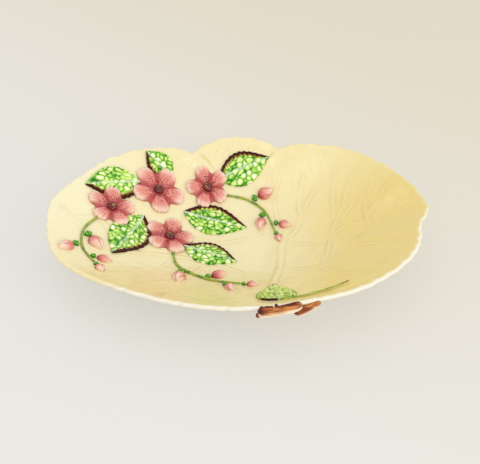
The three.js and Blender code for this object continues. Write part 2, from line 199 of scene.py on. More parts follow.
def veins_at(x, y):
    """Height of the raised veins and laps inside the bowl, and how far the glaze has pooled beside them."""
    height, pooled, crest = np.zeros_like(x), np.zeros_like(x), np.zeros_like(x)
    for kind, path in VEINS:
        half_width, rise = kind
        line, shares = smooth_line(path)
        near, gap, index = nearest(line, x, y, 4 * half_width)
        fade = smooth_step(-0.02, 0.1, shares[index]) * (1 - 0.7 * shares[index] ** 2)
        ripple = LONG_VEIN_FADE if kind in (MIDRIB, LONG_BRANCH) else FINE_VEIN_FADE
        fade = fade * (1 - ripple + ripple * np.sin(0.13 * index + path[0][0]))
        grooved = 1
        if kind == MIDRIB:
            grooved = 1 - 0.3 * np.exp(-((gap / (0.45 * half_width)) ** 2))
        ridge = fade * np.exp(-((gap / half_width) ** 2))
        height[near] = np.maximum(height[near], rise * ridge * grooved)
        crest[near] = np.maximum(crest[near], ridge)
        beside = fade * np.exp(-(((gap - 1.3 * half_width) / (0.65 * half_width)) ** 2))
        pooled[near] = np.maximum(pooled[near], beside)
    for path in LAPS:
        line, shares = smooth_line(path)
        near, gap, index = nearest(line, x, y, 12)
        run = np.gradient(line, axis=0)[index]
        away = line[index]
        side = np.sign(run[:, 0] * (y[near] - away[:, 1]) - run[:, 1] * (x[near] - away[:, 0])) * gap
        outward = side * (1 if line[0, 0] > 0 else -1)
        fade = (1 - smooth_step(0.4, 1, shares[index])) * np.exp(-np.maximum(0, outward) / 5)
        height[near] += LAP_RISE * fade * smooth_step(-0.6, 0.6, outward)
        pooled[near] = np.maximum(pooled[near], fade * np.exp(-((outward + 1) ** 2)))
    return height, pooled * (1 - crest), crest


# Length along the rim up to each angle, for scallops of an even pitch
rim_angles = np.linspace(-180, 180, 1441)
rim_reach = rim_radius(rim_angles)
rim_x, rim_y = rim_reach * np.cos(np.radians(rim_angles)), rim_reach * np.sin(np.radians(rim_angles))
rim_length = np.concatenate([[0], np.cumsum(np.hypot(np.diff(rim_x), np.diff(rim_y)))])
scallop_count = round(rim_length[-1] / SCALLOP_PITCH)


def scallop_tooth(angle):
    """0 in the nicks between the scallops and 1 on their crowns."""
    turn = np.radians(angle)
    count = np.interp(angle, rim_angles, rim_length) / rim_length[-1] * scallop_count
    count = count + 0.25 * np.sin(3 * turn + 1) + 0.3 * np.sin(8 * turn + 2) + 0.2 * np.sin(19 * turn)
    return np.sin(np.pi * (count % 1) ** 0.7) ** 0.7


def scallop_cut(angle):
    """How far the rim is cut back in the nicks, less the flare of the lip."""
    turn = np.radians(angle)
    strength = 0.7 + 0.3 * np.sin(5 * turn + 0.7) * np.sin(13 * turn)
    strength = strength * (0.55 + 0.45 * smooth_step(-0.1, 0.5, np.sin(turn)))
    flare = RIM_FLARE * (1 - on_lobe(angle))
    for at, _, spread in END_POINTS:
        off_point = np.abs(turn_between(at, angle))
        strength = strength * smooth_step(0, 4 * spread, off_point)
        flare = flare * smooth_step(0, 2 * spread, off_point)
    return SCALLOP_DEPTH * (1 - scallop_tooth(angle)) * strength - flare


def lip_roll(angle):
    """How far the lip leans out past the wall's line."""
    lean = 0
    for at, reach, spread in LIP_ROLLS:
        lean = lean + reach * np.exp(-((turn_between(at, angle) / spread) ** 2))
    return lean


def turned(profile, steps, cuts=0):
    """A profile of (distance from the axis, height) turned all the way round, each step cut smaller."""
    shape = bmesh.new()
    points = [shape.verts.new((across, 0, up)) for across, up in profile]
    edges = [shape.edges.new(pair) for pair in zip(points, points[1:])]
    bmesh.ops.spin(
        shape,
        geom=points + edges,
        cent=(0, 0, 0),
        axis=(0, 0, 1),
        angle=2 * math.pi,
        steps=steps,
        use_merge=True,
    )
    bmesh.ops.remove_doubles(shape, verts=shape.verts, dist=1e-6)
    if cuts:
        reach = {point: point.co.xy.length for point in shape.verts}
        round_edges = []
        for edge in shape.edges:
            first, second = edge.verts
            if abs(reach[first] - reach[second]) < 1e-5:
                round_edges.append(edge)
        bmesh.ops.subdivide_edges(shape, edges=round_edges, cuts=cuts, use_grid_fill=True)
    bmesh.ops.recalc_face_normals(shape, faces=shape.faces)
    return shape


foot_low, foot_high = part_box("foot_ring")
dish_middle = np.array([(foot_low.x + foot_high.x) / 2, (foot_low.y + foot_high.y) / 2, 0])


def make_piece(name, shape, place):
    """A piece whose vertices take the places, in millimetres, and the surface masks that a function gives."""
    mesh = bpy.data.meshes.new(name)
    shape.to_mesh(mesh)
    shape.free()
    flat = np.empty(3 * len(mesh.vertices))
    mesh.vertices.foreach_get("co", flat)
    points, masks = place(*flat.reshape(-1, 3).T)
    mesh.vertices.foreach_set("co", (points * MM + dish_middle).ravel())
    for mask, values in masks.items():
        layer = mesh.attributes.new(mask, "FLOAT", "POINT")
        layer.data.foreach_set("value", np.asarray(values, np.float32))
    mesh.shade_smooth()
    mesh.update()
    piece = bpy.data.objects.new(name, mesh)
    bpy.context.scene.collection.objects.link(piece)
    return piece


def finish_piece(piece, glaze, node):
    piece.data.materials.append(glaze)
    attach(piece, "root")
    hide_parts(node)


def rough(x, y, z, scale, seed=0.0):
    """Smooth noise between -1 and 1 at each point, with a given number of waves to the millimetre."""
    points = np.stack([x, y, z], 1) * scale + seed
    return np.array([noise.noise(Vector(point)) for point in points])


def bowl_place(u, v, level):
    angle = np.degrees(np.arctan2(v, u))
    share = np.hypot(u, v)
    radius = share * rim_radius(angle) - scallop_cut(angle) * np.clip((share - 0.9) / 0.1, 0, 1) ** 2
    height = inner_height_at(angle, radius) + WALL * level * upright_thickness(angle, radius)
    leaned = smooth_step(0.8, 1, share)
    height = height + LOBE_LIFT * on_lobe(angle) * leaned
    radius = radius + lip_roll(angle) * leaned
    x, y = radius * np.cos(np.radians(angle)), radius * np.sin(np.radians(angle))
    inside = level > -0.02
    vein, pool, crest = np.zeros_like(x), np.zeros_like(x), np.zeros_like(x)
    vein[inside], pool[inside], crest[inside] = veins_at(x[inside], y[inside])
    fade = 1 - smooth_step(0.9, 0.985, share)
    near_edge = share + 0.012 * smooth_step(0.05, 0.5, -level) - 0.012 * scallop_tooth(angle)
    lip = smooth_step(0.955, 0.995, near_edge)
    lip = lip * (1 - 0.75 * smooth_step(0.75, 1.0, -level))
    lip = lip * (0.3 + 0.7 * smooth_step(82, 45, np.abs(turn_between(-70, angle))))
    wave = np.zeros_like(x)
    level_ground = np.zeros_like(x[inside])
    wave[inside] = rough(x[inside], y[inside], level_ground, 0.075)
    wave[inside] += 0.5 * rough(x[inside], y[inside], level_ground, 0.17, 40.0)
    points = np.stack([x, y, height + (vein + WALL_WAVE * wave) * fade], 1)
    # The thick mask is partly real and partly painted shade and light. The glaze really lies thicker and more
    # golden towards the right end and thinner at the left end. The extra gold on the front inner wall, on the
    # right wall towards the front and on the back wall by the lobe is painted shade. The paler back right
    # wall is painted light.
    thick = 0.25 + 0.7 * smooth_step(0, 120, x)
    thick = thick + (0.25 + 0.2 * smooth_step(40, -30, x)) * smooth_step(-5, -80, y)
    thick = thick - 0.25 * smooth_step(-60, -125, x)
    thick = thick + 0.1 * smooth_step(45, 90, y) * smooth_step(70, 30, x)
    thick = thick + smooth_step(30, 80, x) * (0.15 - 0.35 * smooth_step(15, 70, y))
    masks = {"pool": pool * fade, "crest": crest * fade, "lip": lip, "thick": thick, "under": -level}
    return points, masks


lip_share = LIP_ROUNDING / (DISH_WIDTH / 2)
under = [(share, -1) for share in np.linspace(0, 1 - 1.2 * lip_share, UNDER_RINGS)]
edge = [
    (1 - 0.9 * lip_share * (1 - math.cos(turn)), -0.5 + 0.5 * math.sin(turn))
    for turn in np.radians(np.linspace(-84, 84, LIP_RINGS))
]
inner = [(share**0.85, 0) for share in np.linspace((1 - 1.1 * lip_share) ** (1 / 0.85), 0, INNER_RINGS)]


class Shade:
    """A value that varies over a surface: an output socket, whose sums are written as plain expressions."""

    def __init__(self, tree, socket):
        self.tree = tree
        self.socket = socket

    def sum(self, operation, first, second):
        return add_node(self.tree, "Math", {"operation": operation}, {0: first, 1: second})

    def __add__(self, other):
        return self.sum("ADD", self, other)

    def __sub__(self, other):
        return self.sum("SUBTRACT", self, other)

    def __rsub__(self, other):
        return self.sum("SUBTRACT", other, self)

    def __mul__(self, other):
        return self.sum("MULTIPLY", self, other)

    __radd__ = __add__
    __rmul__ = __mul__


def add_node(tree, kind, settings=None, values=None, out=0):
    """Adds one node: its settings are set first, then its sockets get values or links."""
    made = tree.nodes.new("ShaderNode" + kind)
    for name, setting in (settings or {}).items():
        setattr(made, name, setting)
    for name, value in (values or {}).items():
        if isinstance(value, Shade):
            tree.links.new(value.socket, made.inputs[name])
        else:
            made.inputs[name].default_value = value
    return Shade(tree, made.outputs[out])


def srgb(red, green, blue):
    """A colour as a screen shows it, 0 to 255, as the linear colour that a shader takes."""
    shares = [channel / 255 for channel in (red, green, blue)]
    linear = [s / 12.92 if s <= 0.04045 else ((s + 0.055) / 1.055) ** 2.4 for s in shares]
    return (*linear, 1)


def mask_of(tree, name):
    return add_node(tree, "Attribute", {"attribute_name": name}, out=2)


def between(value, low, high):
    """A soft step of a value from 0 at one level to 1 at another."""
    levels = {0: value, 1: low, 2: high, 3: 0.0, 4: 1.0}
    return add_node(value.tree, "MapRange", {"interpolation_type": "SMOOTHSTEP"}, levels)


def paint(share, under_colour, over_colour):
    """One colour brushed over another by a share."""
    values = {0: share, 6: under_colour, 7: over_colour}
    return add_node(share.tree, "Mix", {"data_type": "RGBA", "clamp_factor": True}, values, out=2)


def mottle(tree, scale, detail=3.0, stretch=None):
    """Cloudy variation of a given number of patches to the metre, on the piece's own coordinates."""
    place = add_node(tree, "TexCoord", out=3)
    if stretch:
        place = add_node(tree, "Mapping", None, {"Vector": place, "Scale": stretch})
    return add_node(tree, "TexNoise", None, {"Vector": place, "Scale": scale, "Detail": detail})


def new_glaze(name, gloss, paint_surface):
    """A glazed finish: a function makes its colour, roughness and fine relief in its node tree."""
    glaze = bpy.data.materials.new(name)
    glaze.use_nodes = True
    tree = glaze.node_tree
    shader = tree.nodes["Principled BSDF"]
    shader.inputs["IOR"].default_value = gloss
    colour, roughness, relief, depth = paint_surface(tree)
    tree.links.new(colour.socket, shader.inputs["Base Color"])
    tree.links.new(roughness.socket, shader.inputs["Roughness"])
    bump = add_node(tree, "Bump", None, {"Strength": 1.0, "Distance": depth, "Height": relief})
    tree.links.new(bump.socket, shader.inputs["Normal"])
    return glaze


CLEAR_GLAZE_IOR = 1.5
CREAM = srgb(239, 230, 188)
CREAM_PALE = srgb(243, 237, 206)
CREAM_GOLDEN = srgb(231, 209, 132)
CREAM_POOLED = srgb(208, 180, 104)
LIP_WHITE = srgb(236, 231, 214)
PIN_HOLE = srgb(176, 140, 84)


def veinlets(tree):
    """The faint net of fine veins on the inner face: 1 on its lines and 0 between them."""
    place = add_node(tree, "TexCoord", out=3)
    wander = add_node(tree, "TexNoise", None, {"Vector": place, "Scale": 70.0}, out=1)
    sway = {0: wander, 1: (0.014, 0.014, 0.014), 2: place}
    bent = add_node(tree, "VectorMath", {"operation": "MULTIPLY_ADD"}, sway)
    edge = add_node(tree, "TexVoronoi", {"feature": "DISTANCE_TO_EDGE"}, {"Vector": bent, "Scale": 80.0})
    return (1 - between(edge, 0.0, 0.1)) * (1 - mask_of(tree, "under"))


def cream_surface(tree):
    cloud = mottle(tree, 14)
    streak = mottle(tree, 60, 4.0, (1.0, 1.0, 0.35))
    colour = paint(between(cloud, 0.35, 0.7) * 0.6, CREAM, CREAM_PALE)
    # CREAM_GOLDEN by the thick mask is partly the glaze's real thickness and partly painted shade on the
    # walls that face away from the key light.
    colour = paint(mask_of(tree, "thick") + 0.5 * (cloud - 0.5), colour, CREAM_GOLDEN)
    colour = paint(mask_of(tree, "pool") * 0.5, colour, CREAM_POOLED)
    colour = paint(mask_of(tree, "crest") * 0.12, colour, CREAM_PALE)
    colour = paint(between(streak, 0.55, 0.8) * 0.2, colour, CREAM_POOLED)
    place = add_node(tree, "TexCoord", out=3)
    pits = add_node(tree, "TexVoronoi", None, {"Vector": place, "Scale": 95.0})
    colour = paint((1 - between(pits, 0.03, 0.055)) * between(cloud, 0.5, 0.56) * 0.6, colour, PIN_HOLE)
    thinned = between(mask_of(tree, "lip") + 0.5 * (streak - 0.5), 0.2, 0.75)
    colour = paint(thinned * 0.95, colour, LIP_WHITE)
    colour = paint(between(mask_of(tree, "under"), 0.6, 1.0) * 0.85, colour, LIP_WHITE)
    relief = 0.6 * mottle(tree, 120, 2.0) + 0.1 * mottle(tree, 420, 1.0) + 0.15 * veinlets(tree)
    return colour, 0.08 + 0.1 * cloud, relief, 0.0004


cream_glaze = new_glaze("cream_glaze", CLEAR_GLAZE_IOR, cream_surface)
bowl_shape = turned([*under, *edge, *inner], BOWL_SECTORS, SECTOR_CUTS)
glazed_bowl = make_piece("glazed_bowl", bowl_shape, bowl_place)
finish_piece(glazed_bowl, cream_glaze, "dish_body")


# The foot ring: a low oval rib of the same clay, luted under the floor with slip. The glaze covers its
# sides, and its standing edge is wiped clean before the firing, so bare biscuit shows there.
FOOT_LENGTH = 118
FOOT_WIDTH = 82
FOOT_WALL = 7
FOOT_TAPER = 0.7
FOOT_HUB = 2
FOOT_STEPS = 240
FOOT_EDGE_SHARE = 0.12
FOOT_SUNK = 0.3


def underside_height(x, y):
    angle, radius = np.degrees(np.arctan2(y, x)), np.hypot(x, y)
    return inner_height_at(angle, radius) - WALL * upright_thickness(angle, radius)


def foot_place(u, v, up):
    angle = np.degrees(np.arctan2(v, u))
    radius = ellipse_radius(angle, FOOT_LENGTH - FOOT_WALL, FOOT_WIDTH - FOOT_WALL)
    radius = radius + (np.hypot(u, v) - FOOT_HUB) * FOOT_WALL
    x, y = radius * np.cos(np.radians(angle)), radius * np.sin(np.radians(angle))
    points = np.stack([x, y, up * (underside_height(x, y) + FOOT_SUNK)], 1)
    return points, {"bare": 1 - smooth_step(0.05, 0.3, up)}


BISCUIT = srgb(232, 216, 186)
BISCUIT_STAIN = srgb(204, 182, 142)


def foot_surface(tree):
    grain = mottle(tree, 300, 4.0)
    biscuit = paint(between(grain, 0.4, 0.75), BISCUIT, BISCUIT_STAIN)
    bare = between(mask_of(tree, "bare") + 0.3 * (mottle(tree, 180) - 0.5), 0.4, 0.6)
    colour = paint(bare, paint(mottle(tree, 30), CREAM, CREAM_PALE), biscuit)
    return colour, 0.18 + 0.5 * bare, grain * (0.2 + bare), 0.0004


foot_round = [
    (0.5 - FOOT_EDGE_SHARE * (1 - math.sin(turn)), 1.6 * FOOT_EDGE_SHARE * (1 - math.cos(turn)))
    for turn in np.radians(np.linspace(0, 90, 6))
]
foot_side = [(0.5 + (FOOT_TAPER - 1) / 2 * up, up) for up in np.linspace(0.3, 1, 6)]
outer = [*foot_round, *foot_side]
foot_profile = [*outer, (0, 1), *[(-across, up) for across, up in reversed(outer)], (0, 0)]
foot_loop = [(FOOT_HUB + across, up) for across, up in [*foot_profile, foot_profile[0]]]
foot_clay = new_glaze("foot_clay", CLEAR_GLAZE_IOR, foot_surface)
foot = make_piece("wiped_foot_ring", turned(foot_loop, FOOT_STEPS), foot_place)
finish_piece(foot, foot_clay, "foot_ring")


# The two twigs: rolled clay, tooled with bark, luted to the outside of the front rim as if the leaf hung on
# them. They are brushed brown on top, and the brown fades into the cream glaze below.
TWIG_STEPS = 40
TWIG_RINGS = 60
TWIG_CAP_RINGS = 9
TWIG_TAPER = 0.25
TWIG_GLAZE_IOR = 1.35
TWIGS = {
    "twig_left": [
        (0.12, 4, [(-82.6, 1.4, 3.7), (-75.6, 1.8, 3.5), (-70.4, 1.8, 2.7), (-66.3, 1.4, 1.8)]),
        (0.2, 2, [(-83.2, 1.4, 7.4), (-79.4, 1.4, 5.2)]),
        (0.2, 2, [(-76.4, 0.8, -0.6), (-75.4, 1.4, 3)]),
    ],
    "twig_right": [(0.18, 3.5, [(-69.2, 1.8, 8.2), (-64.4, 1.8, 5.4), (-59.6, 1.4, 3.4)])],
}


def along_line(line, up_hints, shares, along):
    """Places, sideways and upward directions along a line at given shares of it."""
    run = np.gradient(line, axis=0)
    run /= np.linalg.norm(run, axis=1)[:, None]
    side = np.cross(run, up_hints)
    side /= np.linalg.norm(side, axis=1)[:, None]
    up = np.cross(side, run)

    def taken(values):
        return np.stack([np.interp(along, shares, values[:, axis]) for axis in range(3)], 1)

    return taken(line), taken(side), taken(up)


def twig_place(radius, path):
    def at_rim(at, outset, drop):
        reach = oval_radius(at) + outset
        return reach * np.cos(np.radians(at)), reach * np.sin(np.radians(at)), oval_height(at) - drop

    line, shares = smooth_line([at_rim(*point) for point in path])
    upright = np.tile([0.0, 0.0, 1.0], (len(line), 1))

    def place(u, v, along):
        turn = np.arctan2(v, u)
        middle, side, up = along_line(line, upright, shares, along)
        length = along * (len(line) * 0.5)
        bark = rough(1.6 * np.cos(turn), 1.6 * np.sin(turn), 0.12 * length, 1.0, radius)
        furrow = rough(2.6 * np.cos(turn), 2.6 * np.sin(turn), 0.09 * length, 1.0, 7.0)
        furrow = smooth_step(0.2, 0.02, np.abs(furrow + 0.15 * bark))
        thick = np.hypot(u, v) * radius * (1 + 0.1 * bark - 0.16 * furrow)
        points = middle + side * (thick * np.cos(turn))[:, None] + up * (thick * np.sin(turn))[:, None]
        # The ridge mask marks the top back edge of the twig, where painted shade goes.
        masks = {"groove": furrow, "upper": np.sin(turn), "ridge": np.sin(turn - 0.7)}
        masks["end"] = 1 - smooth_step(0.02, 0.3, along)
        return points, masks

    return place


TWIG_TAN = srgb(206, 132, 66)
TWIG_DARK = srgb(58, 12, 2)
TWIG_PEACH = srgb(246, 226, 192)
TWIG_RUST = srgb(152, 68, 20)


def twig_surface(tree):
    dapple = mottle(tree, 260, 4.0, (0.3, 1.0, 1.0))
    colour = paint(between(dapple, 0.38, 0.66), TWIG_TAN, TWIG_RUST)
    end = mask_of(tree, "end")
    colour = paint(between(end + 0.4 * (dapple - 0.5), 0.1, 0.7) * 0.9, colour, TWIG_RUST)
    colour = paint(mask_of(tree, "groove") * 0.75, colour, TWIG_DARK)
    # Painted shade: a dark band along the top back edge of each twig, where it turns away from the light.
    ridge = between(mask_of(tree, "ridge") + 0.5 * (dapple - 0.5), 0.72, 0.95)
    colour = paint(ridge * 0.9, colour, TWIG_DARK)
    colour = paint(between(end + 0.5 * (dapple - 0.5), 0.6, 1.0) * 0.8, colour, TWIG_DARK)
    below = 1 - between(mask_of(tree, "upper") + 0.9 * (dapple - 0.5), -0.2, 0.5)
    colour = paint(below, colour, TWIG_PEACH)
    return colour, 0.08 + 0.12 * dapple, mottle(tree, 500, 3.0), 0.0006


twig_glaze = new_glaze("twig_glaze", TWIG_GLAZE_IOR, twig_surface)


def twig_profile(cap):
    """Half section of a tapering twig, with round ends of a given share of its length."""
    turns = np.radians(np.linspace(0, 90, TWIG_CAP_RINGS))
    foot = [(math.sin(turn), cap * (1 - math.cos(turn))) for turn in turns]
    body = [(1 - TWIG_TAPER * along, along) for along in np.linspace(cap, 1 - cap, TWIG_RINGS)]
    tip = [((1 - TWIG_TAPER) * math.cos(turn), 1 - cap + cap * math.sin(turn)) for turn in turns]
    return [*foot, *body[1:], *tip[1:]]


def join_pieces(name, pieces):
    """Joins pieces of one material into the first, under a name."""
    joined = bmesh.new()
    for piece in pieces:
        joined.from_mesh(piece.data)
    joined.to_mesh(pieces[0].data)
    joined.free()
    for piece in pieces[1:]:
        bpy.data.objects.remove(piece)
    pieces[0].name = name
    return pieces[0]


for node, branches in TWIGS.items():
    rolls = []
    for cap, radius, path in branches:
        roll = turned(twig_profile(cap), TWIG_STEPS)
        rolls.append(make_piece("roll", roll, twig_place(radius, path)))
    finish_piece(join_pieces("barked_" + node, rolls), twig_glaze, node)


# The leaves: thin pads of clay pressed in a sprig mould, with a midrib, side veins and crinkled cells,
# luted on the wall. A wash of pale green pools dark in the creases, and one margin is stroked with brown.
LUTING_GAP = 0.35
SUNK_BACK = -0.3
LEAF_EDGE = 1.1
LEAF_RISE = 2.3
LEAF_ROWS, LEAF_COLUMNS = 84, 46
SPRAY_AT, SPRAY_INSET = 143.4, 36.5
FRONT_LEAF_AT, FRONT_LEAF_INSET = -73, 9.5
FRONT_LEAF_FORM = (93, 30, 26, 0.3)
FRONT_LEAF_ROWS = 60
FRONT_LEAF_SEED = 23
CELL_SIZE = 4.4
RIB_WIDTH = 0.75
LEAF_GLAZE_IOR = 1.25
SIDE_VEIN_PITCH = 5.2
LEAVES = [
    (-12, 4, 205, 44, 26, 0.45),
    (10, 14, 143, 26, 21, 0.45),
    (46, 16, 23, 44, 25, 0.45),
    (-9, -26, 251, 52, 28, 0.45),
    (20, -14, -13, 50, 27, 0.45),
    (22, -48, -22, 42, 23, 0.45),
]
BLOSSOMS = [(-32, -27, 17, 20), (0, 0, 20, -8), (38, 9, 17, 40), (11, -41, 18, 8)]
PETAL_COUNT = 5
PETAL_CLEFT = 0.3


def plan_inside(at, inset):
    reach = oval_radius(at) - inset
    return np.array([reach * math.cos(math.radians(at)), reach * math.sin(math.radians(at))])


spray_middle = plan_inside(SPRAY_AT, SPRAY_INSET)


def in_spray(x, y, *rest):
    return (spray_middle[0] + x, spray_middle[1] + y, *rest)


def seat(x, y, lift, probe=0.05):
    """Points above the bowl's inner face, square to it."""
    slope_x = inner_height(x - probe, y) - inner_height(x + probe, y)
    slope_y = inner_height(x, y - probe) - inner_height(x, y + probe)
    square = np.stack([slope_x, slope_y, np.full_like(x, 2 * probe)], 1)
    square /= np.linalg.norm(square, axis=1)[:, None]
    return np.stack([x, y, inner_height(x, y)], 1) + square * lift[:, None]


def petal_share(turn, first):
    return 0.5 + 0.5 * np.cos(PETAL_COUNT * (turn - np.radians(first)))


def petal_reach(turn, radius, first):
    return radius * (1 - PETAL_CLEFT * (1 - petal_share(turn, first)) ** 2)


def under_petals(x, y):
    """1 where a blossom's petals lie over the wall, and 0 in the open."""
    covered = np.zeros_like(x)
    for middle_x, middle_y, radius, first in (in_spray(*blossom) for blossom in BLOSSOMS):
        turn = np.arctan2(y - middle_y, x - middle_x)
        gap = np.hypot(x - middle_x, y - middle_y) - petal_reach(turn, radius, first)
        covered = np.maximum(covered, smooth_step(0.8, -0.8, gap))
    return covered


def pad(rows, columns):
    """A flat pad from -1 to 1 both ways, closed all round, with its back at height 0 and its face at 1."""
    shape = bmesh.new()
    bmesh.ops.create_grid(shape, x_segments=rows, y_segments=columns, size=1)
    raised = bmesh.ops.extrude_face_region(shape, geom=shape.faces[:])
    face = [item for item in raised["geom"] if isinstance(item, bmesh.types.BMVert)]
    bmesh.ops.translate(shape, verts=face, vec=(0, 0, 1))
    bmesh.ops.recalc_face_normals(shape, faces=shape.faces)
    return shape


def blade_plan(x, y, heading, length, width, broadest, u, v, wave=0.0):
    """Plan of a pointed blade along its heading: distances along and across it, and the place."""
    along = (1 + u) / 2
    half = width / 2 * np.sin(np.pi * along ** (math.log(0.5) / math.log(broadest)))
    across = (np.maximum(0.06, half) + wave) * v
    reach = along * length
    cos, sin = math.cos(math.radians(heading)), math.sin(math.radians(heading))
    return reach, across, x + cos * reach - sin * across, y + sin * reach + cos * across


def cells_at(x, y, size, seed):
    """Crinkled cells over a surface: 0 in the creases between them and 1 on their crowns."""
    crowns = []
    for across, along in zip(x / size, y / size):
        gaps, _ = noise.voronoi(Vector((across, along, seed)))
        crowns.append(gaps[1] - gaps[0])
    return smooth_step(0.0, 0.6, np.array(crowns))


def leaf_place(leaf, seed, cell_size=CELL_SIZE, stroked=1.2, stroke_width=5.0, pale_rib=1.0, faded=0.0):
    def place(u, v, level):
        wave = 0.35 * np.sin(34 * u + seed) * np.abs(v) ** 3 * (1 - u**2)
        reach, across, x, y = blade_plan(*leaf, u, v, wave)
        crown = LEAF_EDGE + (LEAF_RISE - LEAF_EDGE) * (1 - u**2) * (1 - v**2)
        rib = np.exp(-((across / RIB_WIDTH) ** 2)) * (1 - 0.6 * (1 + u) / 2)
        offset = (reach - 0.85 * np.abs(across) - 0.02 * across**2) / SIDE_VEIN_PITCH
        offset = offset + 0.23 * np.sign(across)
        side_vein = np.exp(-((turn_between(0, offset * 360) / 360 * SIDE_VEIN_PITCH / 0.5) ** 2))
        side_vein = side_vein * smooth_step(0, 1.2, np.abs(across)) * (1 - np.abs(v) ** 4)
        cells = cells_at(reach, across * 1.15, cell_size, seed)
        puffed = cells * (1 - 0.8 * np.maximum(rib, 0.6 * side_vein))
        rim = 1 - np.abs(v) ** 6
        lift = crown + (0.85 * puffed - 0.5 + 0.6 * rib) * rim * smooth_step(0, 0.12, 1 - np.abs(u))
        lift = np.where(level > 0.5, LUTING_GAP + lift * (1 - 0.85 * under_petals(x, y)), SUNK_BACK)
        inward = leaf[4] / 2 * np.cos(np.pi * u / 2) * (1 - np.abs(v))
        margin = smooth_step(stroke_width, 0.16 * stroke_width, np.abs(inward))
        margin = margin * smooth_step(stroked, stroked - 0.15, (1 + u) / 2)
        masks = {
            "cell": puffed,
            "rib": pale_rib * np.maximum(rib, 0.25 * side_vein),
            "margin": margin,
            "side": v,
            "faded": np.full_like(u, faded),
            "stroke": 0.5 + 0.5 * np.sin(5.2 * reach + 2.5 * np.sin(1.7 * reach + seed)),
        }
        return seat(x, y, lift), masks

    return place


LEAF_WASH = srgb(218, 237, 138)
# Near white for the leaf's paler ribs and for painted highlights on the crowns of the cells.
LEAF_PALE_AND_HIGHLIGHT = srgb(252, 253, 242)
LEAF_DEEP = srgb(132, 204, 34)
LEAF_CREASE = srgb(14, 120, 2)
STROKE_BROWN = srgb(62, 16, 3)
STROKE_WASH = srgb(166, 88, 28)


def leaf_surface(tree):
    wash = mottle(tree, 90)
    dab = mottle(tree, 380, 3.0)
    cell = mask_of(tree, "cell")
    # Painted highlight: the crowns of the cells are brushed near white, standing in for glints on the glossy
    # relief.
    colour = paint(between(cell + 0.6 * (dab - 0.5), 0.65, 1.0), LEAF_WASH, LEAF_PALE_AND_HIGHLIGHT)
    brushed = between(1 - cell + 0.6 * (wash - 0.5) + 0.4 * (dab - 0.5), 0.5, 0.95)
    colour = paint(brushed * 0.9, colour, LEAF_DEEP)
    creased = between(1 - cell + 0.4 * (dab - 0.5), 0.84, 1.0)
    creased = creased * between(wash + 0.4 * (dab - 0.5), 0.3, 0.5)
    colour = paint(creased, colour, LEAF_CREASE)
    colour = paint(mask_of(tree, "faded") * (0.3 + 0.7 * cell), colour, CREAM_GOLDEN)
    # The ribs are brushed near white. This is partly the leaf's paler veins and partly painted highlight.
    colour = paint(mask_of(tree, "rib") * 0.8, colour, LEAF_PALE_AND_HIGHLIGHT)
    fringe = mask_of(tree, "margin") + 0.5 * (mask_of(tree, "stroke") - 0.5)
    fringe = fringe + 0.5 * (mottle(tree, 900, 2.0) - 0.5)
    one_side = between(mask_of(tree, "side"), 0.1, 0.4)
    colour = paint(between(fringe, 0.1, 0.5) * one_side * 0.75, colour, STROKE_WASH)
    colour = paint(between(fringe, 0.48, 0.72) * one_side, colour, STROKE_BROWN)
    return colour, 0.06 + 0.1 * dab, dab, 0.0003


leaf_glaze = new_glaze("leaf_green_glaze", LEAF_GLAZE_IOR, leaf_surface)
for count, leaf in enumerate(LEAVES):
    place = leaf_place(in_spray(*leaf), 3 * count)
    pressed = make_piece(f"pressed_leaf_{count + 1}", pad(LEAF_ROWS, LEAF_COLUMNS), place)
    finish_piece(pressed, leaf_glaze, f"leaf_{count + 1}")
front_leaf = (*plan_inside(FRONT_LEAF_AT, FRONT_LEAF_INSET), *FRONT_LEAF_FORM)
place = leaf_place(
    front_leaf,
    FRONT_LEAF_SEED,
    cell_size=2.8,
    stroked=0.22,
    stroke_width=0.5,
    pale_rib=0.3,
    faded=0.6,
)
pressed = make_piece("pressed_front_leaf", pad(FRONT_LEAF_ROWS, LEAF_COLUMNS), place)
finish_piece(pressed, leaf_glaze, "front_leaf")


# The front stalk and the bud stems: thin clay rolls laid along the wall in slip, brushed yellow-green. The
# stems start under the petals, and the stalk runs out brown at its far end.
STALK_RADIUS = 0.9
STALK_PATH = [(-72, 8), (-64, 8.4), (-53, 9.4), (-43, 12)]
STEM_RADIUS = 1.1
STEM_SIDES = 18
STEM_RINGS = 90
STEM_SEAT = 0.75
BUD_STEMS = [
    ([(-39, -38), (-47, -57), (-45, -78), (-34, -94)], 1),
    ([(14, -54), (20, -75), (40, -89), (64, -95)], -1),
    ([(50, 4), (69, 0), (83, -11), (90, -30)], 1),
]


def stem_place(path, radius):
    line, shares = smooth_line(path)
    sunk = 1.6 * under_petals(line[:, 0], line[:, 1])
    laid = seat(line[:, 0], line[:, 1], radius * (STEM_SEAT - sunk))
    square = seat(line[:, 0], line[:, 1], radius * (STEM_SEAT - sunk) + 1) - laid

    def place(u, v, along):
        turn = np.arctan2(v, u)
        middle, side, up = along_line(laid, square, shares, along)
        knobbly = 1 + 0.12 * np.sin(9 * along + 3) + 0.12 * np.sin(31 * along)
        thick = np.hypot(u, v) * radius * knobbly * (1 - 0.35 * along)
        points = middle + side * (thick * np.cos(turn))[:, None] + up * (thick * np.sin(turn))[:, None]
        return points, {"along": along, "upper": np.sin(turn)}

    return place


STALK_GREEN = srgb(164, 176, 58)
STALK_DARK = srgb(84, 128, 38)
STALK_BROWN = srgb(112, 74, 34)


